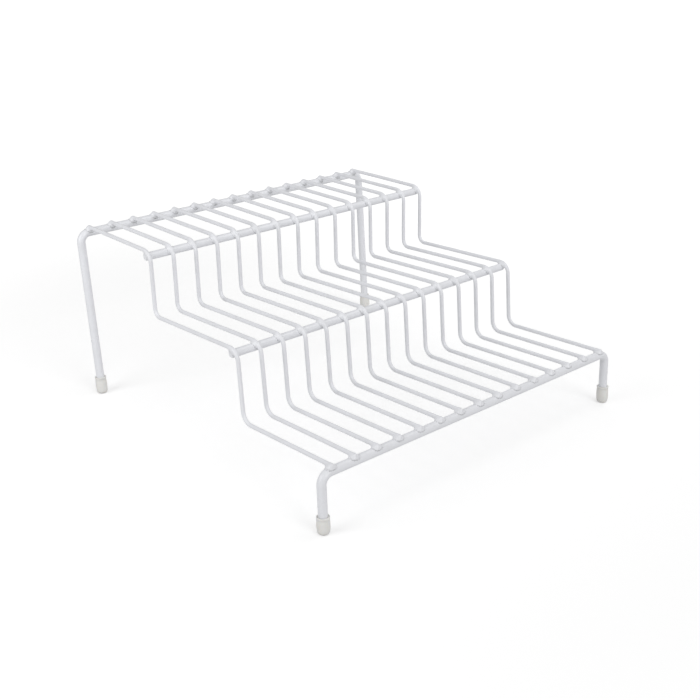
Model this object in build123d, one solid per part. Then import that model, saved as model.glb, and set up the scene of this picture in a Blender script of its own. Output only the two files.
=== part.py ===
"""Three-tier shelf riser of plastic-coated steel wire.

Millimetres, +Z up. X runs across the shelf, the front edge faces -Y.
The origin is the middle of the footprint, on the surface the feet stand on.
"""

from build123d import *
import math
import os

os.makedirs("parts", exist_ok=True)

# ---- Wire stock, measured over the coating ----
step_wire_diameter = 3.0
rod_diameter = 5.8
frame_wire_diameter = 6.3

# ---- Width, and the spread of the step wires across it ----
leg_spacing = 281.6         # left leg to right leg, centre to centre
leg_outset = 7.8            # end step wire to leg, centre to centre
step_wire_count = 15
frame_bend_radius = 7.3     # corner bends of both frames, on the centreline

# ---- Heights above the table, all to wire centres ----
front_rail_height = 40.6
middle_tread_height = 91.2  # at the head of the lower riser
upper_tread_height = 134.3  # at the head of the upper riser

# ---- Depths, from the front rail backwards ----
lower_tread_depth = 90.0    # front rail to the foot of the lower riser
middle_tread_depth = 101.1  # head of the lower riser to the foot of the upper one
upper_tread_depth = 88.3    # head of the upper riser to the back rail

# ---- Slopes: each tread dips a little to the rear, each riser leans back ----
lower_tread_dip = 4.6
middle_tread_dip = 5.0
upper_tread_dip = 0.6
lower_riser_lean = 4.1
upper_riser_lean = 0.6
back_leg_lean = 3.9         # degrees, feet forward of the rail
front_leg_lean = 2.1        # degrees, feet forward of the rail

# ---- Bends of the step wires, on the centreline ----
riser_head_radius = 8.5     # over a cross rod
lower_riser_foot_radius = 8.0
upper_riser_foot_radius = 5.8

# ---- Welds ----
weld_set_down = 0.5         # how far a step wire is pressed into what it crosses
middle_rod_seat_angle = 16.0  # degrees round the riser head, from its top
upper_rod_seat_angle = 32.0   # degrees round the riser head, from its top
front_wire_overhang = 2.2   # step wire end, forward of the front rail's centre
back_wire_overhang = 0.6    # step wire end, behind the back rail's centre
rod_overhang = 0.9          # rod end, outside the end step wire's centre

# ---- Coated wire ends ----
step_wire_end_chamfer = 0.4
rod_end_chamfer = 0.9

# ---- Sides that stand in for the round of the wires and caps that repeat ----
step_wire_sides = 8
step_wire_bend_chords = 5
frame_wire_sides = 16       # the caps have as many, so each grips its leg flat to flat

# ---- Push-on foot caps ----
cap_length = 14.0
cap_middle_diameter = 9.1
cap_mouth_diameter = 8.4
cap_rim_diameter = 8.9
cap_rim_height = 1.6
cap_rim_round = 0.35
cap_floor = 2.2             # solid end of the cap, under the leg
cap_bottom_round = 2.6
cap_foot_flat = 0.35        # moulded off the round end, level with the table
cap_lead_in = 0.55          # flare of the bore at the mouth
cap_lead_in_depth = 1.3
cap_bore_clearance = 0.0    # on diameter: the vinyl grips the coated leg

# ---- Values that follow ----
step_wire_radius = step_wire_diameter / 2
rod_radius = rod_diameter / 2
frame_wire_radius = frame_wire_diameter / 2
leg_x = leg_spacing / 2
end_wire_x = leg_x - leg_outset
step_wire_pitch = 2 * end_wire_x / (step_wire_count - 1)
rail_seat = frame_wire_radius + step_wire_radius - weld_set_down
rod_seat = rod_radius + step_wire_radius - weld_set_down

lower_riser_foot_y = lower_tread_depth
lower_riser_head_y = lower_riser_foot_y + lower_riser_lean
upper_riser_foot_y = lower_riser_head_y + middle_tread_depth
upper_riser_head_y = upper_riser_foot_y + upper_riser_lean
back_rail_y = upper_riser_head_y + upper_tread_depth

lower_tread_height = front_rail_height + rail_seat
back_rail_height = upper_tread_height - upper_tread_dip - rail_seat


def step_corners():
    """Corners of the stair line, front to back, as (y, z) of the wire centre."""
    return [
        (-front_wire_overhang, lower_tread_height),
        (lower_riser_foot_y, lower_tread_height - lower_tread_dip),
        (lower_riser_head_y, middle_tread_height),
        (upper_riser_foot_y, middle_tread_height - middle_tread_dip),
        (upper_riser_head_y, upper_tread_height),
        (back_rail_y + back_wire_overhang, upper_tread_height - upper_tread_dip),
    ]


def round_section(radius, sides):
    """Section of a round wire as a regular polygon, its flats touching the circle."""
    return RegularPolygon(radius, sides, major_radius=False, rotation=180 / sides)


def bend_centre(before, corner, after, radius):
    """Centre of the arc of this radius that rounds a corner between two runs."""
    to_before = (Vector(*before) - Vector(*corner)).normalized()
    to_after = (Vector(*after) - Vector(*corner)).normalized()
    half_angle = math.radians(to_before.get_angle(to_after)) / 2
    middle = (to_before + to_after).normalized()
    return Vector(*corner) + middle * (radius / math.sin(half_angle))


def rod_centre(riser_head, seat_angle):
    """Where a cross rod nests inside the bend at the head of a riser, as (y, z)."""
    corners = step_corners()
    centre = bend_centre(*corners[riser_head - 1:riser_head + 2], riser_head_radius)
    reach = riser_head_radius - rod_seat
    angle = math.radians(seat_angle)
    return centre.X - reach * math.sin(angle), centre.Y + reach * math.cos(angle)


def bend_points(before, corner, after, radius):
    """Points round the bend at a corner, from the run before it to the run after."""
    centre = bend_centre(before, corner, after, radius)
    start = foot_of_normal(centre, before, corner)
    end = foot_of_normal(centre, corner, after)
    turn = (start - centre).get_signed_angle(end - centre, Vector(0, 0, 1))
    points = []
    for chord_end in range(step_wire_bend_chords + 1):
        angle = turn * chord_end / step_wire_bend_chords
        points.append(centre + (start - centre).rotate(Axis.Z, angle))
    return points


def foot_of_normal(point, start, end):
    """Where the normal dropped from a point meets a straight run."""
    start = Vector(*start)
    along = (Vector(*end) - start).normalized()
    return start + along * (point - start).dot(along)


def step_wire_blank():
    """One stair-bent step wire in the middle of the shelf, before its weld seats."""
    corners = step_corners()
    radii = [lower_riser_foot_radius, riser_head_radius]
    radii += [upper_riser_foot_radius, riser_head_radius]
    route = [Vector(*corners[0])]
    for place, radius in enumerate(radii, start=1):
        route += bend_points(*corners[place - 1:place + 2], radius)
    route.append(Vector(*corners[-1]))
    path = Polyline(*[(0, point.X, point.Y) for point in route])
    section = (path ^ 0) * round_section(step_wire_radius, step_wire_sides)
    wire = sweep(section, path=path, transition=Transition.RIGHT)
    front_end = wire.faces().sort_by(Axis.Y)[0]
    back_end = wire.faces().sort_by(Axis.Y)[-1]
    return chamfer(front_end.edges() + back_end.edges(), step_wire_end_chamfer)


def cross_rod(riser_head, seat_angle):
    """Straight rod that carries every step wire at the head of one riser."""
    y, z = rod_centre(riser_head, seat_angle)
    length = 2 * (end_wire_x + rod_overhang)
    rod = Pos(0, y, z) * Rot(0, 90, 0) * Cylinder(rod_radius, length)
    return chamfer(rod.edges().filter_by(GeomType.CIRCLE), rod_end_chamfer)


def leg_direction(lean):
    """Unit vector down a leg whose foot stands forward of its rail."""
    angle = math.radians(lean)
    return Vector(0, -math.sin(angle), -math.cos(angle))


def leg_run(rail_height, lean):
    """Length from the rail's centre to the end of the leg, which stands on the cap floor."""
    to_table = (rail_height + cap_foot_flat) / math.cos(math.radians(lean))
    return to_table - cap_floor


def frame(rail_y, rail_height, lean):
    """Rail and its two legs, bent from one piece of wire."""
    up = -leg_direction(lean)
    normal = Vector(1, 0, 0).cross(up)
    plane = Plane(origin=(0, rail_y, rail_height), x_dir=(1, 0, 0), z_dir=normal)
    run = leg_run(rail_height, lean)
    points = [(-leg_x, -run), (-leg_x, 0), (leg_x, 0), (leg_x, -run)]
    path = plane * FilletPolyline(*points, radius=frame_bend_radius)
    section = (path ^ 0) * round_section(frame_wire_radius, frame_wire_sides)
    return sweep(section, path=path)


def cap_outline():
    """Outside of a foot cap from its underside up, as (radius, height) pairs."""
    mouth = cap_mouth_diameter / 2
    rim = cap_rim_diameter / 2
    rim_foot = cap_length - cap_rim_height
    eighth = math.radians(45)
    return [
        (mouth - cap_bottom_round, 0),
        (
            mouth - cap_bottom_round * (1 - math.sin(eighth)),
            cap_bottom_round * (1 - math.cos(eighth)),
        ),
        (mouth, cap_bottom_round),
        (cap_middle_diameter / 2, (cap_bottom_round + rim_foot) / 2),
        (mouth, rim_foot),
        (rim, rim_foot + cap_rim_round),
        (rim, cap_length - cap_rim_round),
        (rim - cap_rim_round, cap_length),
    ]


def corner_ring(radius, height):
    """Corners of a level section of a cap, its flats touching a circle."""
    corner_radius = radius / math.cos(math.pi / frame_wire_sides)
    angles = [math.tau * (side + 0.5) / frame_wire_sides for side in range(frame_wire_sides)]
    return [
        Vector(corner_radius * math.cos(angle), corner_radius * math.sin(angle), height)
        for angle in angles
    ]


def stacked(outline):
    """Solid with a section at each (radius, height) pair and flat facets between them."""
    rings = [corner_ring(radius, height) for radius, height in outline]
    faces = [Face(Wire.make_polygon(ring)) for ring in (rings[0], rings[-1])]
    for lower, upper in zip(rings, rings[1:]):
        for side in range(frame_wire_sides):
            beside = (side + 1) % frame_wire_sides
            corners = [lower[side], lower[beside], upper[beside], upper[side]]
            faces.append(Face(Wire.make_polygon(corners)))
    return Solid(Shell(faces))


def foot_cap(side, rail_y, rail_height, lean):
    """Soft push-on cap: barrel outside, blind bore for the leg, level underside."""
    bore = frame_wire_radius + cap_bore_clearance / 2
    barrel = stacked(cap_outline())
    hollow = stacked(
        [
            (bore, cap_floor),
            (bore, cap_length - cap_lead_in_depth),
            (bore + cap_lead_in, cap_length),
        ]
    )
    down = leg_direction(lean)
    tip = Vector(side * leg_x, rail_y, rail_height)
    tip += down * (leg_run(rail_height, lean) + cap_floor)
    placed = Plane(origin=tip, x_dir=(1, 0, 0), z_dir=-down) * (barrel - hollow)
    ground = Pos(tip.X, tip.Y, 0) * Box(
        2 * cap_length,
        2 * cap_length,
        cap_length,
        align=(Align.CENTER, Align.CENTER, Align.MAX),
    )
    return placed - ground


def welded(wire, carriers):
    """A step wire with a saddle pressed into it by each rod and rail that it crosses."""
    for carrier in carriers:
        wire = wire - carrier
    return wire


def build():
    """Every piece of the riser by name, with the front rail on Y = 0."""
    back = (back_rail_y, back_rail_height, back_leg_lean)
    front = (0, front_rail_height, front_leg_lean)
    pieces = {
        "back_frame": frame(*back),
        "front_frame": frame(*front),
        "middle_cross_rod": cross_rod(2, middle_rod_seat_angle),
        "upper_cross_rod": cross_rod(4, upper_rod_seat_angle),
    }
    carriers = list(pieces.values())
    blank = step_wire_blank()
    for number in range(step_wire_count):
        x = number * step_wire_pitch - end_wire_x
        pieces[f"step_wire_{number + 1:02d}"] = welded(Pos(x, 0, 0) * blank, carriers)
    for end, place in (("back", back), ("front", front)):
        for hand, side in (("left", -1), ("right", 1)):
            pieces[f"foot_cap_{end}_{hand}"] = foot_cap(side, *place)
    return pieces


def footprint_middle(pieces):
    """Middle of the space that all the pieces take up, seen from above."""
    boxes = [piece.bounding_box() for piece in pieces.values()]
    low_x = min(box.min.X for box in boxes)
    high_x = max(box.max.X for box in boxes)
    low_y = min(box.min.Y for box in boxes)
    high_y = max(box.max.Y for box in boxes)
    return (low_x + high_x) / 2, (low_y + high_y) / 2


def main():
    """Centre the footprint on the origin and write one STEP file for each piece."""
    pieces = build()
    middle_x, middle_y = footprint_middle(pieces)
    to_origin = Pos(-middle_x, -middle_y, 0)
    for name, piece in pieces.items():
        export_step(to_origin * piece, f"parts/{name}.step")
    print(f"{len(pieces)} pieces written")
    print(f"front rail centre at y {-middle_y:.3f}")


if __name__ == "__main__":
    main()
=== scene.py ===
"""Looks of a three-tier shelf riser made of white plastic-coated steel wire.

Metres, +Z up, the front edge towards -Y. Every piece stands for one solid of the
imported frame: truly round coated wire, the coating drawn up into a meniscus at each
weld, rounded dipped ends, and soft vinyl caps pushed onto the four legs.
"""

import logging
import math
import random
from dataclasses import dataclass, field
from enum import Enum
from typing import Any, Callable, Protocol

import bpy
import numpy as np
from mathutils import Matrix, Vector


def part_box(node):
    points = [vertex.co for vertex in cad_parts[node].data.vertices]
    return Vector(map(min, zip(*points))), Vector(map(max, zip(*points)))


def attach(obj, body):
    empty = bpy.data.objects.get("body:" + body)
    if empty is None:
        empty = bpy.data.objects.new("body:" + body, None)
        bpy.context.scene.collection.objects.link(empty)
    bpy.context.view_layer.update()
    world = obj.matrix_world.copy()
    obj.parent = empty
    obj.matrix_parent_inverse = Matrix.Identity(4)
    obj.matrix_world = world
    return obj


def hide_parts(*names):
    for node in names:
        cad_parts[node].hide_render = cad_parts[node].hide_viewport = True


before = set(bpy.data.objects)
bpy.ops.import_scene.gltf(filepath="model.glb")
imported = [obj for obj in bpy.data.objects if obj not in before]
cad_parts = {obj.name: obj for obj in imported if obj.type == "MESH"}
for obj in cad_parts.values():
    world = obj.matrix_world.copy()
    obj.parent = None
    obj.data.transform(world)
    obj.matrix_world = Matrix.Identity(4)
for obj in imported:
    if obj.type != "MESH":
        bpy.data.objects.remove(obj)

Array, Span = np.ndarray, tuple[float, float]
Tree, Socket = bpy.types.NodeTree, bpy.types.NodeSocket
Material, Mesh = bpy.types.Material, bpy.types.Mesh

LOG = logging.getLogger("shelf_riser")
MM = 0.001
BODY = "root"
# closeness to a weld; it drives the painted highlight on the weld knots
WELD_ATTRIBUTE = "weld_closeness"
X_AXIS, Y_AXIS, Z_AXIS = np.eye(3)
SEARCH_PLACES = 4001  # places tried along a wire for the one nearest to a weld
HAIR = 1e-9  # metres by which two distances may differ and still meet
LEAST_CHANGE = 1e-12  # smaller changes between two samples count as none
MIX_FIRST, MIX_SECOND, MIX_RESULT = 6, 7, 2  # colour sockets of Blender's mix node


class End(Enum):
    """The two bent frames, by the edge of the stand that each carries."""

    BACK = "back"
    FRONT = "front"


class Hand(Enum):
    """The two sides of the stand, seen from the front."""

    LEFT = "left"
    RIGHT = "right"


# ---------------------------------------------------------------- materials


def linear(hex_colour: str) -> tuple[float, float, float, float]:
    """Turns an sRGB hex colour into the linear colour that a shader takes.

    Args:
        hex_colour: Six hex digits, such as "e8e8ea".

    Returns:
        Red, green, blue and alpha, linear.
    """
    channels = [int(hex_colour[place:place + 2], 16) / 255 for place in (0, 2, 4)]
    values = [c / 12.92 if c <= 0.04045 else ((c + 0.055) / 1.055) ** 2.4 for c in channels]
    return (values[0], values[1], values[2], 1.0)


def add_node(
    tree: Tree,
    kind: str,
    settings: dict[str, Any] | None = None,
    inputs: dict[str | int, Any] | None = None,
) -> bpy.types.Node:
    """Adds a shader node with its settings, constants and links.

    Args:
        tree: Node tree that takes the node.
        kind: Blender's type name of the node.
        settings: Values of the node's own properties.
        inputs: For each input socket, a constant or the output socket that feeds it.

    Returns:
        The new node.
    """
    node = tree.nodes.new(kind)
    for name, value in (settings or {}).items():
        setattr(node, name, value)
    for name, value in (inputs or {}).items():
        if isinstance(value, Socket):
            tree.links.new(value, node.inputs[name])
        else:
            node.inputs[name].default_value = value
    return node


def add_noise(
    tree: Tree, place: Socket, size_mm: float, detail: float, crispness: float = 0.5
) -> Socket:
    """Adds a noise pattern of a real size.

    Args:
        tree: Node tree that takes the node.
        place: Socket of the place on the piece.
        size_mm: Size of the pattern, in millimetres.
        detail: Number of finer layers.
        crispness: Weight of each finer layer against the one before.

    Returns:
        Socket of the pattern's value.
    """
    scale = 1 / (size_mm * MM)
    inputs = {"Vector": place, "Scale": scale, "Detail": detail, "Roughness": crispness}
    return add_node(tree, "ShaderNodeTexNoise", inputs=inputs).outputs["Fac"]


def add_range(
    tree: Tree, value: Socket, span: Span, onto: Span = (0.0, 1.0), curve: str = "LINEAR"
) -> Socket:
    """Adds a mapping of one span of values onto another, clamped at its ends.

    Args:
        tree: Node tree that takes the node.
        value: Socket of the value.
        span: The values at the two ends.
        onto: The results at the two ends.
        curve: Blender's name of the curve between them.

    Returns:
        Socket of the result.
    """
    ends = {"From Min": span[0], "From Max": span[1], "To Min": onto[0], "To Max": onto[1]}
    return add_node(
        tree, "ShaderNodeMapRange", {"interpolation_type": curve}, {"Value": value, **ends}
    ).outputs["Result"]


def add_mix(tree: Tree, share: Socket, first: Any, second: Any) -> Socket:
    """Adds a mix of two colours.

    Args:
        tree: Node tree that takes the node.
        share: Socket of the second colour's share.
        first: A constant colour or the socket that feeds it.
        second: The same for the other colour.

    Returns:
        Socket of the mixed colour.
    """
    inputs = {"Factor": share, MIX_FIRST: first, MIX_SECOND: second}
    return add_node(tree, "ShaderNodeMix", {"data_type": "RGBA"}, inputs).outputs[MIX_RESULT]


def add_bump(
    tree: Tree,
    height: Socket,
    depth_mm: float,
    strength: float = 1.0,
    under: Socket | None = None,
) -> Socket:
    """Adds a relief of a real depth.

    Args:
        tree: Node tree that takes the node.
        height: Socket of the height, from 0 to 1.
        depth_mm: Depth of the relief, in millimetres.
        strength: How much of it shows.
        under: Socket of a coarser relief that it lies on.

    Returns:
        Socket of the bumped normal.
    """
    inputs = {"Strength": strength, "Distance": depth_mm * MM, "Height": height}
    if under is not None:
        inputs["Normal"] = under
    return add_node(tree, "ShaderNodeBump", inputs=inputs).outputs["Normal"]


def new_material(name: str) -> tuple[Material, Tree]:
    """Makes an empty node material.

    Args:
        name: Name of the material.

    Returns:
        The material and its cleared node tree.
    """
    material = bpy.data.materials.new(name)
    material.use_nodes = True
    material.node_tree.nodes.clear()
    return material, material.node_tree


@dataclass(frozen=True)
class DippedVinylCoat:
    """White PVC fused onto wire in a dip tank.

    Gives the eye a soft, slightly cool gloss with a gentle swell, a fuller coat drawn up
    at each weld, colour painted lighter there as a painted highlight on the weld knots,
    and faint dulling from handling.
    """

    name: str
    colour: str = "e8e9ed"
    weld_highlight_colour: str = "ecedf0"
    scuffed_colour: str = "dfe0e3"
    ior: float = 1.53
    roughness: float = 0.24
    scuffed_roughness: float = 0.4
    swell_wavelength_mm: float = 5.0
    swell_depth_mm: float = 0.09
    swell_detail: float = 1.0
    peel_wavelength_mm: float = 0.9
    peel_depth_mm: float = 0.012
    peel_detail: float = 2.0
    scuff_size_mm: float = 14.0
    scuff_detail: float = 5.0
    scuff_crispness: float = 0.62
    tint_span: Span = (0.5, 0.78)
    dulling_span: Span = (0.3, 0.75)

    def material(self) -> Material:
        """Makes the coating's material.

        Returns:
            The material, with patterns in real millimetres.
        """
        material, tree = new_material(self.name)
        place = add_node(tree, "ShaderNodeTexCoord").outputs["Object"]
        weld = add_node(
            tree, "ShaderNodeAttribute", {"attribute_name": WELD_ATTRIBUTE}
        ).outputs["Fac"]
        scuffs = add_noise(
            tree, place, self.scuff_size_mm, self.scuff_detail, self.scuff_crispness
        )
        scuffed = add_range(tree, scuffs, self.tint_span)
        worn = add_mix(tree, scuffed, linear(self.colour), linear(self.scuffed_colour))
        # painted highlight: the coat is drawn lighter near each weld, standing in for the bright
        # weld knots
        weld_highlighted = add_mix(tree, weld, worn, linear(self.weld_highlight_colour))
        roughness = add_range(
            tree, scuffs, self.dulling_span, (self.roughness, self.scuffed_roughness)
        )
        swell = add_noise(tree, place, self.swell_wavelength_mm, self.swell_detail)
        swollen = add_bump(tree, swell, self.swell_depth_mm)
        peel = add_noise(tree, place, self.peel_wavelength_mm, self.peel_detail)
        surface = add_bump(tree, peel, self.peel_depth_mm, under=swollen)
        look = {"Base Color": weld_highlighted, "Roughness": roughness, "IOR": self.ior, "Normal": surface}
        shader = add_node(tree, "ShaderNodeBsdfPrincipled", inputs=look).outputs["BSDF"]
        add_node(tree, "ShaderNodeOutputMaterial", inputs={"Surface": shader})
        return material


@dataclass(frozen=True)
class MouldedSoftVinyl:
    """Off-white plasticised PVC, dip moulded on a polished pin.

    Gives the eye a milky, slightly clouded body with a dull sheen, faint draw
    rings round the barrel, and colour darker towards the bottom, where it meets the shelf.
    """

    name: str = "moulded_off_white_soft_vinyl"
    colour: str = "ebeae7"
    clouded_colour: str = "dfdedb"
    darker_bottom_colour: str = "c9c7c3"
    ior: float = 1.53
    roughness: float = 0.48
    depth_of_light_mm: float = 1.2
    light_weight: float = 0.2
    light_reach_by_channel: tuple[float, float, float] = (1.0, 0.9, 0.75)
    cloud_size_mm: float = 4.0
    cloud_detail: float = 4.0
    ring_spacing_mm: float = 1.1
    ring_depth_mm: float = 0.05
    ring_strength: float = 0.5
    grain_size_mm: float = 0.45
    grain_depth_mm: float = 0.012
    grain_detail: float = 3.0
    darker_bottom_height_mm: float = 3.5
    darker_bottom_share: float = 0.45

    def material(self) -> Material:
        """Makes the vinyl's material.

        Returns:
            The material, with patterns in real millimetres.
        """
        material, tree = new_material(self.name)
        place = add_node(tree, "ShaderNodeTexCoord").outputs["Object"]
        height = add_node(tree, "ShaderNodeSeparateXYZ", inputs={"Vector": place}).outputs["Z"]
        clouds = add_noise(tree, place, self.cloud_size_mm, self.cloud_detail)
        body = add_mix(tree, clouds, linear(self.colour), linear(self.clouded_colour))
        # colour darker towards the bottom of the cap, over its lowest few millimetres
        low = add_range(tree, height, (0.0, self.darker_bottom_height_mm * MM), (self.darker_bottom_share, 0.0))
        darkened_bottom = add_mix(tree, low, body, linear(self.darker_bottom_colour))
        turn = math.tau / (self.ring_spacing_mm * MM)
        phase = add_node(
            tree, "ShaderNodeMath", {"operation": "MULTIPLY"}, {0: height, 1: turn}
        ).outputs["Value"]
        rings = add_node(tree, "ShaderNodeMath", {"operation": "SINE"}, {0: phase}).outputs["Value"]
        ringed = add_bump(tree, rings, self.ring_depth_mm, self.ring_strength)
        grain = add_noise(tree, place, self.grain_size_mm, self.grain_detail)
        surface = add_bump(tree, grain, self.grain_depth_mm, under=ringed)
        look = {
            "Base Color": darkened_bottom,
            "Roughness": self.roughness,
            "IOR": self.ior,
            "Subsurface Weight": self.light_weight,
            "Subsurface Radius": self.light_reach_by_channel,
            "Subsurface Scale": self.depth_of_light_mm * MM,
            "Normal": surface,
        }
        shader = add_node(tree, "ShaderNodeBsdfPrincipled", inputs=look).outputs["BSDF"]
        add_node(tree, "ShaderNodeOutputMaterial", inputs={"Surface": shader})
        return material


@dataclass(frozen=True)
class SweepPaper:
    """Matt white sweep paper under the stand.

    Gives the eye a plain white ground that still takes the stand's soft shadow.
    """

    name: str = "matt_white_sweep_paper"
    colour: str = "e2e2e2"
    glow_radii: Span = (0.3, 1.1)
    glow_strengths: Span = (0.367, 0.85)

    def material(self) -> Material:
        """Makes the paper's material: bright to the camera, plain matt to all other light.

        Returns:
            The material.
        """
        material, tree = new_material(self.name)
        place = add_node(tree, "ShaderNodeTexCoord").outputs["Object"]
        radius = add_node(
            tree, "ShaderNodeVectorMath", {"operation": "LENGTH"}, {0: place}
        ).outputs["Value"]
        glow_here = add_range(tree, radius, self.glow_radii, self.glow_strengths, "SMOOTHSTEP")
        seen = add_node(tree, "ShaderNodeLightPath").outputs["Is Camera Ray"]
        strength = add_node(
            tree, "ShaderNodeMath", {"operation": "MULTIPLY"}, {0: seen, 1: glow_here}
        ).outputs["Value"]
        matt = add_node(
            tree, "ShaderNodeBsdfDiffuse", inputs={"Color": linear(self.colour)}
        ).outputs["BSDF"]
        glow = add_node(
            tree, "ShaderNodeEmission", inputs={"Color": (1.0, 1.0, 1.0, 1.0), "Strength": strength}
        ).outputs["Emission"]
        both = add_node(tree, "ShaderNodeAddShader", inputs={0: matt, 1: glow}).outputs["Shader"]
        add_node(tree, "ShaderNodeOutputMaterial", inputs={"Surface": both})
        return material


# ---------------------------------------------------------------- shapes


class Carrier(Protocol):
    """Something round that step wires are welded onto."""

    def distance(self, points: Array) -> Array:
        """Gives each point's distance outside the surface, negative inside it."""


@dataclass(frozen=True)
class RodShape:
    """A straight rod along X with rounded, dipped ends."""

    centre_y: float
    centre_z: float
    radius: float
    half_length: float
    end_round: float

    def distance(self, points: Array) -> Array:
        """Distance outside the rod's surface.

        Args:
            points: Array of points, last axis X, Y, Z.

        Returns:
            One distance for each point, negative inside.
        """
        across = np.hypot(points[..., 1] - self.centre_y, points[..., 2] - self.centre_z)
        side = across - (self.radius - self.end_round)
        cap = np.abs(points[..., 0]) - (self.half_length - self.end_round)
        return rounded_edge(side, cap, self.end_round)


@dataclass(frozen=True)
class FrameShape:
    """A wire bent to an upside-down U, its plane leaning about its own rail."""

    leg_x: float
    rail_y: float
    rail_z: float
    lean: float
    radius: float
    bend_radius: float
    leg_length: float

    def down(self) -> Array:
        """Unit vector down the legs."""
        return np.array([0.0, -math.sin(self.lean), -math.cos(self.lean)])

    def across(self) -> Array:
        """Unit vector square to the frame's plane."""
        return np.array([0.0, math.cos(self.lean), -math.sin(self.lean)])

    def distance(self, points: Array) -> Array:
        """Distance outside the frame's surface, as if its legs had no end.

        Args:
            points: Array of points, last axis X, Y, Z.

        Returns:
            One distance for each point, negative inside.
        """
        from_rail = points - np.array([0.0, self.rail_y, self.rail_z])
        x = np.abs(points[..., 0])
        drop = from_rail @ self.down()
        corner_x = self.leg_x - self.bend_radius
        in_bend = (x > corner_x) & (drop < self.bend_radius)
        round_bend = np.hypot(x - corner_x, drop - self.bend_radius) - self.bend_radius
        straight = np.where(x <= corner_x, drop, x - self.leg_x)
        in_plane = np.where(in_bend, round_bend, straight)
        return np.hypot(in_plane, from_rail @ self.across()) - self.radius

    def centreline(self, straight_step: float, bend_steps: int) -> tuple[Array, Array]:
        """Walks the wire from the left leg's end to the right leg's end.

        Args:
            straight_step: Longest step on a straight run.
            bend_steps: Steps round each corner bend.

        Returns:
            Points on the centreline, and the wire's direction at each.
        """
        down = self.down()
        rail = np.array([0.0, self.rail_y, self.rail_z])
        corner_x = self.leg_x - self.bend_radius
        quarter = np.linspace(0, math.pi / 2, bend_steps + 1)
        leg_drops = _spread(self.leg_length, self.bend_radius, straight_step)
        left = [(-self.leg_x, drop, 0.0, -1.0) for drop in leg_drops]
        left += [
            (
                -corner_x - self.bend_radius * math.cos(turn),
                self.bend_radius * (1 - math.sin(turn)),
                math.sin(turn),
                -math.cos(turn),
            )
            for turn in quarter[1:]
        ]
        rail_run = [(x, 0.0, 1.0, 0.0) for x in _spread(-corner_x, corner_x, straight_step)[1:-1]]
        right = [(-x, drop, along, -fall) for x, drop, along, fall in reversed(left)]
        walk = np.array(left + rail_run + right)
        points = rail + walk[:, :1] * X_AXIS + walk[:, 1:2] * down
        along = walk[:, 2:3] * X_AXIS + walk[:, 3:4] * down
        return points, along


@dataclass
class StairLine:
    """Centreline of a step wire, in the Y, Z plane: straight runs joined by arcs."""

    corners: list[tuple[float, float]]
    radii: list[float]
    spans: list[tuple[float, Callable[[Array], Array]]] = field(default_factory=list)

    def __post_init__(self) -> None:
        """Works out each run and arc in turn."""
        points = [np.array(corner) for corner in self.corners]
        here = points[0]
        for place, radius in enumerate(self.radii, start=1):
            before = _unit(points[place - 1] - points[place])
            after = _unit(points[place + 1] - points[place])
            half_angle = math.acos(float(np.clip(before @ after, -1, 1))) / 2
            reach = radius / math.tan(half_angle)
            start, end = points[place] + before * reach, points[place] + after * reach
            centre = points[place] + _unit(before + after) * (radius / math.sin(half_angle))
            self._add_run(here, start)
            self._add_arc(centre, start, end, radius)
            here = end
        self._add_run(here, points[-1])

    def _add_run(self, start: Array, end: Array) -> None:
        """Adds a straight run between two points."""
        length = float(np.linalg.norm(end - start))
        along = _unit(end - start)
        self.spans.append((length, lambda s: start + s[:, None] * along))

    def _add_arc(self, centre: Array, start: Array, end: Array, radius: float) -> None:
        """Adds the arc from one tangent point to the next."""
        first = math.atan2(*(start - centre)[::-1])
        turn = math.atan2(*(end - centre)[::-1]) - first
        turn = (turn + math.pi) % math.tau - math.pi

        def point_at(s: Array) -> Array:
            """Points on the arc at distances along it."""
            angle = first + turn * s / (abs(turn) * radius)
            return centre + radius * np.stack([np.cos(angle), np.sin(angle)], axis=1)

        self.spans.append((abs(turn) * radius, point_at))

    def length(self) -> float:
        """Whole length of the wire."""
        return sum(span for span, _ in self.spans)

    def at(self, distances: Array) -> Array:
        """Points on the line.

        Args:
            distances: Distances along the wire from its front end, rising.

        Returns:
            Y and Z of each point.
        """
        found = np.zeros((len(distances), 2))
        start = 0.0
        for length, point_at in self.spans:
            here = (distances >= start - HAIR) & (distances <= start + length + HAIR)
            found[here] = point_at(np.clip(distances[here] - start, 0, length))
            start += length
        return found

    def nearest(self, y: float, z: float) -> float:
        """Distance along the wire of the point nearest to a place.

        Args:
            y: Y of the place.
            z: Z of the place.

        Returns:
            Distance from the front end.
        """
        along = np.linspace(0, self.length(), SEARCH_PLACES)
        gaps = np.linalg.norm(self.at(along) - np.array([y, z]), axis=1)
        return float(along[int(gaps.argmin())])


def _unit(vector: Array) -> Array:
    """The vector at length one."""
    return vector / np.linalg.norm(vector)


def _spread(start: float, end: float, step: float) -> Array:
    """Even places from start to end, no further apart than step."""
    return np.linspace(start, end, max(2, math.ceil(abs(end - start) / step) + 1))


def _circle(sides: int, first: Array, second: Array) -> Array:
    """Points of the unit circle in the plane of two directions."""
    turns = np.linspace(0, math.tau, sides, endpoint=False)[:, None]
    return np.cos(turns) * first + np.sin(turns) * second


def rounded_edge(side: Array, cap: Array, edge: float) -> Array:
    """Distance outside a round bar whose end has a rounded edge.

    Args:
        side: Distances outside the bar's side, drawn in by the edge's radius.
        cap: Distances beyond its end, drawn in by the edge's radius.
        edge: Radius of the rounded edge.

    Returns:
        Distances, negative inside.
    """
    outside = np.hypot(np.maximum(side, 0), np.maximum(cap, 0))
    return outside + np.minimum(np.maximum(side, cap), 0) - edge


def filleted(wire: Array, carrier: Array, fillet: float) -> Array:
    """Joins two surfaces with a round meniscus of coating between them.

    Args:
        wire: Distances outside the wire.
        carrier: Distances outside what it is welded to.
        fillet: Radius of the meniscus.

    Returns:
        Distances outside the joined surface.
    """
    inner = np.hypot(np.maximum(fillet - wire, 0), np.maximum(fillet - carrier, 0))
    return np.maximum(fillet, np.minimum(wire, carrier)) - inner


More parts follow.
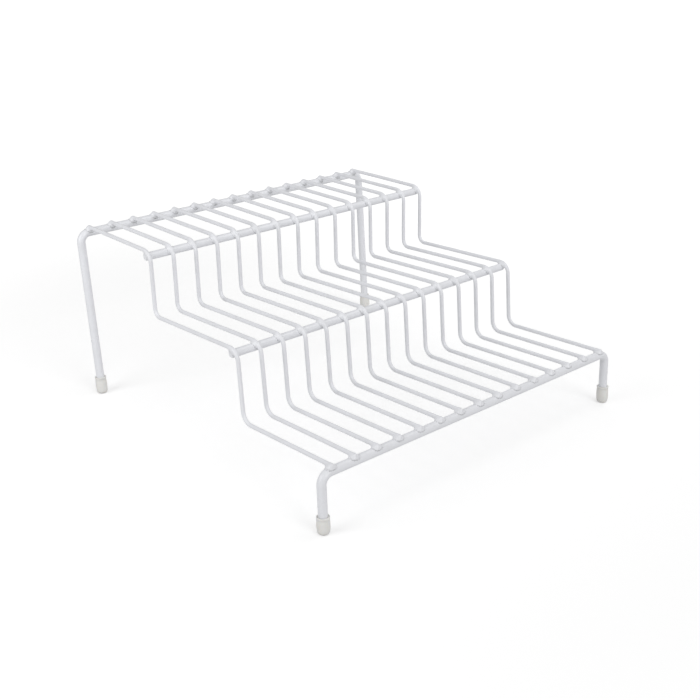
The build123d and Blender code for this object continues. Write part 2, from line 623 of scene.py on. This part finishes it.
def first_crossing(values: Array, reach: Array, level: float, rising: bool) -> Array:
    """Where a value sampled along rays first passes a level.

    Args:
        values: Samples, last axis along the ray.
        reach: Distance of each sample from the ray's start.
        level: Level to look for.
        rising: True to look for values at or above it, False for at or below it.

    Returns:
        Distance along each ray, infinite where the level isn't met.
    """
    past = values >= level if rising else values <= level
    met = past.any(axis=-1)
    place = np.maximum(past.argmax(axis=-1), 1)
    after = np.take_along_axis(values, place[..., None], axis=-1)[..., 0]
    before = np.take_along_axis(values, place[..., None] - 1, axis=-1)[..., 0]
    gap = np.where(np.abs(after - before) < LEAST_CHANGE, 1.0, after - before)
    share = np.clip((level - before) / gap, 0, 1)
    found = reach[place - 1] + share * (reach[place] - reach[place - 1])
    return np.where(met, found, np.inf)


def ring_mesh(
    name: str, rings: Array, start: Array | None = None, end: Array | None = None
) -> Mesh:
    """Skins a row of closed rings.

    Args:
        name: Name of the mesh.
        rings: Array of rings by points by X, Y, Z.
        start: Pole that closes the first ring, or None to leave it open.
        end: Pole that closes the last ring, or None to leave it open.

    Returns:
        A smooth-shaded mesh.
    """
    count, sides = rings.shape[:2]
    points = [tuple(point) for point in rings.reshape(-1, 3)]
    faces: list[tuple[int, ...]] = []
    for ring in range(count - 1):
        for side in range(sides):
            here, beside = ring * sides + side, ring * sides + (side + 1) % sides
            faces.append((here, beside, beside + sides, here + sides))
    for pole, first, turned in ((start, 0, True), (end, (count - 1) * sides, False)):
        if pole is None:
            continue
        points.append(tuple(pole))
        for side in range(sides):
            pair = (first + side, first + (side + 1) % sides)
            faces.append((*(pair[::-1] if turned else pair), len(points) - 1))
    mesh = bpy.data.meshes.new(name)
    mesh.from_pydata(points, [], faces)
    mesh.validate()
    mesh.shade_smooth()
    return mesh


def mark_welds(mesh: Mesh, closeness: Array) -> None:
    """Stores how near each vertex is to a weld, for the coat's painted highlight on the weld knots.

    Args:
        mesh: Mesh to mark.
        closeness: One value from 0 to 1 for each vertex.
    """
    attribute = mesh.attributes.new(WELD_ATTRIBUTE, "FLOAT", "POINT")
    attribute.data.foreach_set("value", closeness.astype(np.float32))


def mark_near_wires(mesh: Mesh, wire_xs: list[float], top: float, reach: float) -> None:
    """Marks the upper side of a rail or rod near each step wire that crosses it, where the coat
    gets its painted highlight on the weld knots.

    Args:
        mesh: Mesh of the rail or rod.
        wire_xs: X of every step wire.
        top: Height of the upper side.
        reach: Distance at which the mark has faded to a quarter.
    """
    points = np.array([vertex.co for vertex in mesh.vertices])
    sideways = np.abs(points[:, :1] - np.array(wire_xs)[None]).min(axis=1)
    below = np.maximum(top - points[:, 2], 0)
    gap = np.hypot(sideways, below) / reach
    mark_welds(mesh, np.clip(1 - gap / 2, 0, 1) ** 2)


def publish(name: str, node: str, mesh: Mesh, material: Material) -> bpy.types.Object:
    """Puts a piece in the scene in place of its plain solid.

    Args:
        name: Name of the piece.
        node: Node of the frame that it stands for.
        mesh: Finished mesh.
        material: Its material.

    Returns:
        The piece.
    """
    piece = bpy.data.objects.new(name, mesh)
    bpy.context.scene.collection.objects.link(piece)
    mesh.materials.append(material)
    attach(piece, BODY)
    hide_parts(node)
    LOG.info("%s: %d faces, stands for %s", name, len(mesh.polygons), node)
    return piece


# ---------------------------------------------------------------- sub-assemblies


@dataclass
class WireFrames:
    """The back and front frames, each one thick wire bent to a rail and two legs."""

    radius: float = 3.15 * MM
    bend_radius: float = 7.3 * MM
    back_lean: float = math.radians(3.9)
    front_lean: float = math.radians(2.1)
    cap_floor: float = 2.2 * MM
    foot_flat: float = 0.35 * MM
    sides: int = 40
    straight_step: float = 6 * MM
    bend_steps: int = 18
    weld_highlight_reach: float = 2.2 * MM

    def shape(self, end: End) -> FrameShape:
        """Reads one frame's place from its solid.

        Args:
            end: Which frame.

        Returns:
            The frame's shape.
        """
        low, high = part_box(f"{end.value}_frame")
        lean = self.back_lean if end is End.BACK else self.front_lean
        rail_z = high.z - self.radius
        to_table = (rail_z + self.foot_flat) / math.cos(lean)
        return FrameShape(
            leg_x=(high.x - low.x) / 2 - self.radius,
            rail_y=high.y - self.radius,
            rail_z=rail_z,
            lean=lean,
            radius=self.radius,
            bend_radius=self.bend_radius,
            leg_length=to_table - self.cap_floor,
        )

    def build(self, material: Material, wire_xs: list[float]) -> None:
        """Makes both frames.

        Args:
            material: Coating of the frames.
            wire_xs: X of every step wire.
        """
        for end in End:
            shape = self.shape(end)
            centres, along = shape.centreline(self.straight_step, self.bend_steps)
            across = shape.across()
            outward = np.cross(along, across)[:, None]
            rings = centres[:, None] + shape.radius * _circle(self.sides, across, outward)
            node = f"{end.value}_frame"
            mesh = ring_mesh(f"{node}_coat", rings, centres[0], centres[-1])
            # mark the rail's upper side near each step wire for the painted highlight on the weld
            # knots
            mark_near_wires(mesh, wire_xs, shape.rail_z + shape.radius, self.weld_highlight_reach)
            publish(f"coated_{node}", node, mesh, material)


@dataclass
class CrossRods:
    """The two straight rods under the front edges of the upper steps."""

    end_round: float = 1.1 * MM
    sides: int = 40
    straight_step: float = 6 * MM
    tip_rings: int = 8
    weld_highlight_reach: float = 2.2 * MM
    nodes: tuple[str, str] = ("middle_cross_rod", "upper_cross_rod")

    def shape(self, node: str) -> RodShape:
        """Reads one rod's place from its solid.

        Args:
            node: Name of the rod's node.

        Returns:
            The rod's shape.
        """
        low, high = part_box(node)
        return RodShape(
            centre_y=(low.y + high.y) / 2,
            centre_z=(low.z + high.z) / 2,
            radius=(high.z - low.z) / 2,
            half_length=(high.x - low.x) / 2,
            end_round=self.end_round,
        )

    def build(self, material: Material, wire_xs: list[float]) -> None:
        """Makes both rods.

        Args:
            material: Coating of the rods.
            wire_xs: X of every step wire.
        """
        circle = _circle(self.sides, Y_AXIS, Z_AXIS)
        for node in self.nodes:
            shape = self.shape(node)
            flat = shape.half_length - self.end_round
            tip = np.linspace(0, math.pi / 2, self.tip_rings + 1)
            tip_x = flat + self.end_round * np.sin(tip)
            tip_radius = shape.radius - self.end_round * (1 - np.cos(tip))
            middle_x = _spread(-flat, flat, self.straight_step)[1:-1]
            xs = np.concatenate([-tip_x[::-1], middle_x, tip_x])
            middle_radius = np.full(len(middle_x), shape.radius)
            radii = np.concatenate([tip_radius[::-1], middle_radius, tip_radius])
            centres = np.stack(
                [xs, np.full_like(xs, shape.centre_y), np.full_like(xs, shape.centre_z)], axis=1
            )
            rings = centres[:, None] + radii[:, None, None] * circle[None]
            mesh = ring_mesh(f"{node}_coat", rings, centres[0], centres[-1])
            # mark the rod's upper side near each step wire for the painted highlight on the weld
            # knots
            mark_near_wires(mesh, wire_xs, shape.centre_z + shape.radius, self.weld_highlight_reach)
            publish(f"coated_{node}", node, mesh, material)


@dataclass
class StepWires:
    """The fifteen stair-bent wires that the jars stand on."""

    count: int = 15
    radius: float = 1.5 * MM
    end_round: float = 1.42 * MM
    front_overhang: float = 2.2 * MM
    back_overhang: float = 0.6 * MM
    weld_set_down: float = 0.5 * MM
    lower_foot_y: float = 90.0 * MM
    lower_head_y: float = 94.1 * MM
    upper_foot_y: float = 195.2 * MM
    upper_head_y: float = 195.8 * MM
    lower_dip: float = 4.6 * MM
    middle_head_z: float = 91.2 * MM
    middle_dip: float = 5.0 * MM
    upper_head_z: float = 134.3 * MM
    upper_dip: float = 0.6 * MM
    bend_radii: tuple[float, ...] = (8.0 * MM, 8.5 * MM, 5.8 * MM, 8.5 * MM)
    rail_fillet: float = 3.2 * MM
    rod_fillet: float = 2.2 * MM
    sink: float = 0.07 * MM
    weld_zone: float = 8.0 * MM
    weld_step: float = 0.32 * MM
    least_gap_share: float = 0.6
    plain_step: float = 3.0 * MM
    bend_step: float = 0.8 * MM
    sides: int = 48
    tip_rings: int = 9
    ray_samples: int = 110
    ray_reach: float = 6.4 * MM
    slope_step: float = 0.01 * MM
    wander: float = 0.22 * MM
    ripple_share: float = 0.4
    weld_highlight_reach: float = 1.6 * MM

    def xs(self) -> list[float]:
        """X of every step wire, read from the solids."""
        boxes = [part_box(self.node(number)) for number in range(1, self.count + 1)]
        return [(low.x + high.x) / 2 for low, high in boxes]

    @staticmethod
    def node(number: int) -> str:
        """Name of one step wire's node."""
        return f"step_wire_{number:02d}"

    def line(self, front: FrameShape, back: FrameShape) -> StairLine:
        """Works out the centreline that every step wire shares.

        Args:
            front: The front frame.
            back: The back frame.

        Returns:
            The centreline.
        """
        seat = front.radius + self.radius - self.weld_set_down
        tread = front.rail_z + seat
        start = front.rail_y
        corners = [
            (start - self.front_overhang, tread),
            (start + self.lower_foot_y, tread - self.lower_dip),
            (start + self.lower_head_y, self.middle_head_z),
            (start + self.upper_foot_y, self.middle_head_z - self.middle_dip),
            (start + self.upper_head_y, self.upper_head_z),
            (back.rail_y + self.back_overhang, self.upper_head_z - self.upper_dip),
        ]
        return StairLine(corners, list(self.bend_radii))

    def stations(self, line: StairLine, welds: list[float]) -> Array:
        """Places for rings: close together at welds and in bends, wide on plain runs.

        Args:
            line: Centreline.
            welds: Distances along it of the welds.

        Returns:
            Rising distances along the wire, between the two tips.
        """
        first, last = self.end_round, line.length() - self.end_round
        found = [_spread(first, last, self.plain_step)]
        for weld in welds:
            found.append(np.arange(weld - self.weld_zone, weld + self.weld_zone, self.weld_step))
        start = 0.0
        for place, (length, _) in enumerate(line.spans):
            if place % 2:  # every second span is a bend
                found.append(_spread(start, start + length, self.bend_step))
            start += length
        merged = np.unique(np.concatenate(found))
        merged = merged[(merged > first) & (merged < last)]
        least_gap = self.weld_step * self.least_gap_share
        kept = [first]
        for distance in merged:
            if distance - kept[-1] > least_gap and last - distance > least_gap:
                kept.append(float(distance))
        return np.array([*kept, last])

    def offsets(self, number: int, stations: Array, welds: list[float]) -> Array:
        """Small sideways wander of one wire between its welds.

        Args:
            number: Number of the wire, which seeds its wander.
            stations: Distances along the wire.
            welds: Distances of the welds, where the wander is nil.

        Returns:
            Sideways offset at each station.
        """
        draw = random.Random(number)
        offset = np.zeros_like(stations)
        for start, end in zip(welds, welds[1:]):
            share = np.clip((stations - start) / (end - start), 0, 1)
            bow, ripple = draw.uniform(-1, 1), draw.uniform(-self.ripple_share, self.ripple_share)
            swing = bow * np.sin(math.pi * share) ** 2 + ripple * np.sin(math.tau * share)
            offset += self.wander * swing
        return offset

    def rays(
        self, line: StairLine, stations: Array, sideways: Array, x: float
    ) -> tuple[Array, Array]:
        """Starts and directions of the rays that find the coating's surface.

        Args:
            line: Centreline.
            stations: Distances along the wire.
            sideways: Sideways offset at each station.
            x: X of the wire.

        Returns:
            Start of each ring's rays, and unit directions by ring and side.
        """
        places = line.at(stations)
        ahead = line.at(np.minimum(stations + self.slope_step, line.length()))
        behind = line.at(np.maximum(stations - self.slope_step, 0))
        run = ahead - behind
        run /= np.linalg.norm(run, axis=1)[:, None]
        starts = np.column_stack([x + sideways, places])
        along = np.column_stack([np.zeros(len(run)), run])
        up = np.column_stack([np.zeros(len(run)), -run[:, 1], run[:, 0]])
        outward = _circle(self.sides, X_AXIS, up[:, None])
        lifts = np.linspace(0, math.pi / 2, self.tip_rings + 1)[1:-1]
        front = [np.cos(lift) * outward[0] - np.sin(lift) * along[0] for lift in lifts[::-1]]
        back = [np.cos(lift) * outward[-1] + np.sin(lift) * along[-1] for lift in lifts]
        tips = len(lifts)
        all_starts = np.concatenate(
            [np.repeat(starts[:1], tips, 0), starts, np.repeat(starts[-1:], tips, 0)]
        )
        return all_starts, np.concatenate([np.array(front), outward, np.array(back)])

    def wire_distance(self, starts: Array, points: Array, line: StairLine) -> Array:
        """Distance outside the plain wire, with its dipped ends rounded.

        Args:
            starts: Start of each ring's rays.
            points: Ray samples by ring, side and sample.
            line: Centreline.

        Returns:
            Distances, negative inside.
        """
        from_axis = np.linalg.norm(points - starts[:, None, None], axis=-1) - self.radius
        tips = self.tip_rings - 1
        ends = line.at(np.array([0.0, line.length()]))
        runs = line.at(np.array([self.end_round, line.length() - self.end_round]))
        tip_rings = (slice(0, tips + 1), slice(-tips - 1, None))
        for end, run, rings in zip(ends, runs, tip_rings):
            out = _unit(end - run)
            middle = np.array([starts[rings][0][0], *end])
            axis = np.array([0.0, *out])
            beyond = (points[rings] - middle) @ axis
            radial = np.linalg.norm(points[rings] - middle - beyond[..., None] * axis, axis=-1)
            side, cap = radial - (self.radius - self.end_round), beyond + self.end_round
            from_axis[rings] = rounded_edge(side, cap, self.end_round)
        return from_axis

    def mesh(
        self, number: int, x: float, line: StairLine, welds: list[float], carriers: list[Carrier]
    ) -> Mesh:
        """Makes one wire, its coating drawn up to each thing that it crosses.

        Args:
            number: Number of the wire.
            x: X of the wire.
            line: Centreline.
            welds: Distances of the welds along it.
            carriers: What it is welded to.

        Returns:
            The wire's mesh, marked near its welds for the painted highlight on the weld knots.
        """
        stations = self.stations(line, welds)
        sideways = self.offsets(number, stations, welds)
        starts, directions = self.rays(line, stations, sideways, x)
        reach = np.linspace(0, self.ray_reach, self.ray_samples)
        points = starts[:, None, None] + directions[:, :, None] * reach[None, None, :, None]
        wire = self.wire_distance(starts, points, line)
        clearances = [shape.distance(points) for shape in carriers]
        fillets = [
            self.rod_fillet if isinstance(shape, RodShape) else self.rail_fillet
            for shape in carriers
        ]
        joined = [filleted(wire, clear, fillet) for clear, fillet in zip(clearances, fillets)]
        carrier = np.minimum.reduce(clearances)
        surface = first_crossing(np.minimum.reduce(joined), reach, 0.0, rising=True)
        buried = first_crossing(carrier, reach, -self.sink, rising=False)
        length = np.minimum(np.minimum(surface, buried), self.ray_reach)
        rings = starts[:, None] + directions * length[..., None]
        ends = line.at(np.array([0.0, line.length()]))
        poles = [np.array([starts[place][0], *end]) for place, end in zip((0, -1), ends)]
        mesh = ring_mesh(f"{self.node(number)}_coat", rings, *poles)
        # mark the wire near each weld, where the coat gets its painted highlight
        vertices = np.array([vertex.co for vertex in mesh.vertices])
        clear = np.minimum.reduce([shape.distance(vertices) for shape in carriers])
        mark_welds(mesh, np.clip(1 - np.maximum(clear, 0) / self.weld_highlight_reach, 0, 1) ** 2)
        return mesh

    def build(self, material: Material, frames: WireFrames, rods: CrossRods) -> None:
        """Makes every step wire.

        Args:
            material: Coating of the wires.
            frames: The two frames that carry the wires' ends.
            rods: The two rods under the risers' heads.
        """
        front, back = frames.shape(End.FRONT), frames.shape(End.BACK)
        shapes = [front, *[rods.shape(node) for node in rods.nodes], back]
        line = self.line(front, back)
        seats = [(front.rail_y, front.rail_z)]
        seats += [(rod.centre_y, rod.centre_z) for rod in shapes[1:3]]
        seats += [(back.rail_y, back.rail_z)]
        welds = [line.nearest(*seat) for seat in seats]
        for number, x in enumerate(self.xs(), start=1):
            node = self.node(number)
            mesh = self.mesh(number, x, line, welds, shapes)
            publish(f"coated_{node}", node, mesh, material)


@dataclass
class FootCaps:
    """Four soft caps, each pushed onto the end of a leg."""

    length: float = 14.0 * MM
    middle_radius: float = 4.50 * MM
    mouth_radius: float = 4.2 * MM
    rim_radius: float = 4.45 * MM
    rim_height: float = 1.6 * MM
    rim_round: float = 0.35 * MM
    bottom_round: float = 2.6 * MM
    belly_skew: float = 0.85
    rim_start: float = math.pi / 8
    # how far the bore is widened, and at what depth below the lip
    mouth_steps: tuple[tuple[float, float], ...] = (
        (0.2 * MM, 0.06 * MM),
        (0.07 * MM, 0.5 * MM),
        (0.0, 1.0 * MM),
        (0.0, 4.0 * MM),
    )
    sides: int = 56
    round_steps: int = 8
    barrel_steps: int = 18
    trimmed: dict[tuple[End, Hand], float] = field(
        default_factory=lambda: {
            (End.FRONT, Hand.LEFT): 1.5 * MM,
            (End.FRONT, Hand.RIGHT): 0.3 * MM,
        }
    )

    def outline(self, bore: float, length: float) -> list[tuple[float, float]]:
        """Profile from the middle of the underside, up the outside and into the bore.

        Args:
            bore: Radius of the coated leg that the cap grips.
            length: Length of this cap, as its mouth was trimmed.

        Returns:
            Radius and height pairs.
        """
        quarter = [math.pi / 2 * step / self.round_steps for step in range(self.round_steps + 1)]
        points = [
            (
                self.mouth_radius - self.bottom_round * (1 - math.sin(turn)),
                self.bottom_round * (1 - math.cos(turn)),
            )
            for turn in quarter
        ]
        rim_foot = length - self.rim_height
        for step in range(1, self.barrel_steps + 1):
            share = step / self.barrel_steps
            swell = math.sin(math.pi * share**self.belly_skew)
            swell *= self.middle_radius - self.mouth_radius
            height = self.bottom_round + share * (rim_foot - self.bottom_round)
            points.append((self.mouth_radius + swell, height))
        bulge = self.rim_radius - self.mouth_radius
        for turn in quarter:
            rise = (self.rim_height - self.rim_round) * turn / (math.pi / 2)
            swell = bulge * math.sin(turn + self.rim_start)
            points.append((self.mouth_radius + swell, rim_foot + rise))
        lip = points[-1][0]
        for turn in quarter[1:]:
            drop = self.rim_round * (1 - math.sin(turn))
            points.append((lip - self.rim_round * (1 - math.cos(turn)), length - drop))
        points += [(bore + widened, length - depth) for widened, depth in self.mouth_steps]
        return points

    def build(self, material: Material, frames: WireFrames) -> None:
        """Makes the four caps.

        Args:
            material: Vinyl of the caps.
            frames: The frames whose legs they grip.
        """
        for end in End:
            shape = frames.shape(end)
            down = shape.down()
            round_leg = _circle(self.sides, X_AXIS, shape.across())
            for hand, side in ((Hand.LEFT, -1), (Hand.RIGHT, 1)):
                length = self.length - self.trimmed.get((end, hand), 0.0)
                profile = np.array(self.outline(shape.radius, length))
                tip = np.array([side * shape.leg_x, shape.rail_y, shape.rail_z])
                tip = tip + down * (shape.leg_length + frames.cap_floor)
                radii, heights = profile[:, 0, None, None], profile[:, 1, None, None]
                rings = tip + radii * round_leg - heights * down
                rings[..., 2] = np.maximum(rings[..., 2], 0.0)
                pole = rings[0].mean(axis=0)
                name = f"foot_cap_{end.value}_{hand.value}"
                mesh = ring_mesh(f"{name}_vinyl", rings, start=pole)
                publish(f"vinyl_{name}", name, mesh, material)


@dataclass(frozen=True)
class SoftSun:
    """Light from far away and from a wide patch of sky."""

    name: str
    towards: tuple[float, float, float]
    strength: float
    angle: float = math.radians(33)


@dataclass(frozen=True)
class LightPanel:
    """Square soft box that stands near the stand, on one side of it."""

    name: str
    place: tuple[float, float, float]
    size: float
    watts: float


@dataclass
class Studio:
    """White sweep, soft lamps round the stand, and the camera."""

    floor_radii: Span = (0.3, 6.0)
    floor_sides: int = 64
    clip_start: float = 0.01
    lens_mm: float = 55.617
    sensor_mm: float = 36.0
    azimuth: float = math.radians(-40.8258)
    elevation: float = math.radians(23.0517)
    roll: float = math.radians(-0.5372)
    camera_place: tuple[float, float, float] = (-0.50333, -0.58843, 0.36830)
    sky_colour: str = "ffffff"
    sky_strength: float = 0.46
    soft_suns: tuple[SoftSun, ...] = (
        SoftSun("high_front_sun", (-0.15, -0.65, 1.0), 0.21),
        SoftSun("low_front_sun", (0.0, -1.0, 0.4), 0.73),
    )
    panels: tuple[LightPanel, ...] = (
        LightPanel("left_panel", (-0.9, 0.1, 0.5), 0.6, 2.95),
        LightPanel("top_panel", (0.3, -0.2, 0.7), 0.4, 0.77),
        LightPanel("right_panel", (0.5, 0.15, 0.2), 0.4, 0.32),
    )
    aim: tuple[float, float, float] = (0.0, 0.0, 0.05)

    def floor(self, material: Material) -> None:
        """Lays the sweep paper, cut as a disc with rings of faces.

        Args:
            material: Paper.
        """
        circle = _circle(self.floor_sides, X_AXIS, Y_AXIS)
        rings = np.array([radius * circle for radius in self.floor_radii])
        mesh = ring_mesh("sweep_paper", rings, start=np.zeros(3))
        mesh.materials.append(material)
        floor = bpy.data.objects.new("sweep_paper", mesh)
        bpy.context.scene.collection.objects.link(floor)

    def light(self) -> None:
        """Hangs the soft suns and the panels."""
        for sun in self.soft_suns:
            lamp = bpy.data.lights.new(sun.name, "SUN")
            lamp.angle, lamp.energy = sun.angle, sun.strength
            self.hang(sun.name, lamp, Vector((0.0, 0.0, 0.0)), Vector(sun.towards))
        for panel in self.panels:
            lamp = bpy.data.lights.new(panel.name, "AREA")
            lamp.shape, lamp.size, lamp.energy = "SQUARE", panel.size, panel.watts
            place = Vector(panel.place)
            self.hang(panel.name, lamp, place, place - Vector(self.aim))

    def room(self) -> None:
        """Lights the room evenly, and shows it plain white to the camera."""
        world = bpy.data.worlds.new("soft_room")
        bpy.context.scene.world = world
        world.use_nodes = True
        tree = world.node_tree
        tree.nodes.clear()
        seen = add_node(tree, "ShaderNodeLightPath").outputs["Is Camera Ray"]
        strength = add_range(tree, seen, (0.0, 1.0), (self.sky_strength, 1.0))
        glow = {"Color": linear(self.sky_colour), "Strength": strength}
        sky = add_node(tree, "ShaderNodeBackground", inputs=glow).outputs["Background"]
        add_node(tree, "ShaderNodeOutputWorld", inputs={"Surface": sky})

    @staticmethod
    def hang(name: str, lamp: bpy.types.Light, place: Vector, away: Vector) -> None:
        """Puts one lamp in the scene, out of the camera's sight.

        Args:
            name: Name of the lamp.
            lamp: The lamp's own data.
            place: Where it hangs.
            away: Direction from the stand towards it.
        """
        light = bpy.data.objects.new(name, lamp)
        bpy.context.scene.collection.objects.link(light)
        light.location = place
        light.rotation_mode = "QUATERNION"
        light.rotation_quaternion = (-away).to_track_quat("-Z", "Y")
        light.visible_camera = False

    def camera(self) -> None:
        """Sets the camera up, looking down at the stand from its front left corner."""
        azimuth, elevation = self.azimuth, self.elevation
        back = Vector(
            (
                math.sin(azimuth) * math.cos(elevation),
                -math.cos(azimuth) * math.cos(elevation),
                math.sin(elevation),
            )
        )
        level = Vector((math.cos(azimuth), math.sin(azimuth), 0.0))
        upward = back.cross(level)
        right = math.cos(self.roll) * level + math.sin(self.roll) * upward
        up = -math.sin(self.roll) * level + math.cos(self.roll) * upward
        data = bpy.data.cameras.new("camera")
        data.lens, data.sensor_width = self.lens_mm, self.sensor_mm
        data.clip_start = self.clip_start
        camera = bpy.data.objects.new("camera", data)
        bpy.context.scene.collection.objects.link(camera)
        turned = Matrix((right, up, back)).transposed().to_4x4()
        camera.matrix_world = Matrix.Translation(self.camera_place) @ turned
        bpy.context.scene.camera = camera

    def build(self, paper: Material) -> None:
        """Makes the floor, the light and the camera.

        Args:
            paper: Material of the floor.
        """
        self.floor(paper)
        self.light()
        self.room()
        self.camera()
        bpy.context.scene.view_settings.view_transform = "Standard"


def main() -> None:
    """Builds every sub-assembly in order."""
    logging.basicConfig(level=logging.INFO, format="%(name)s %(message)s", force=True)
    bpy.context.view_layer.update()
    frame_coat = DippedVinylCoat("dipped_white_vinyl_on_frame_wire").material()
    rod_coat = DippedVinylCoat("dipped_white_vinyl_on_rod").material()
    step_coat = DippedVinylCoat(
        "dipped_white_vinyl_on_step_wire", swell_wavelength_mm=3.5, swell_depth_mm=0.06
    ).material()
    frames, rods, wires, caps = WireFrames(), CrossRods(), StepWires(), FootCaps()
    wire_xs = wires.xs()
    frames.build(frame_coat, wire_xs)
    rods.build(rod_coat, wire_xs)
    wires.build(step_coat, frames, rods)
    caps.build(MouldedSoftVinyl().material(), frames)
    Studio().build(SweepPaper().material())


if __name__ == "__main__":
    main()
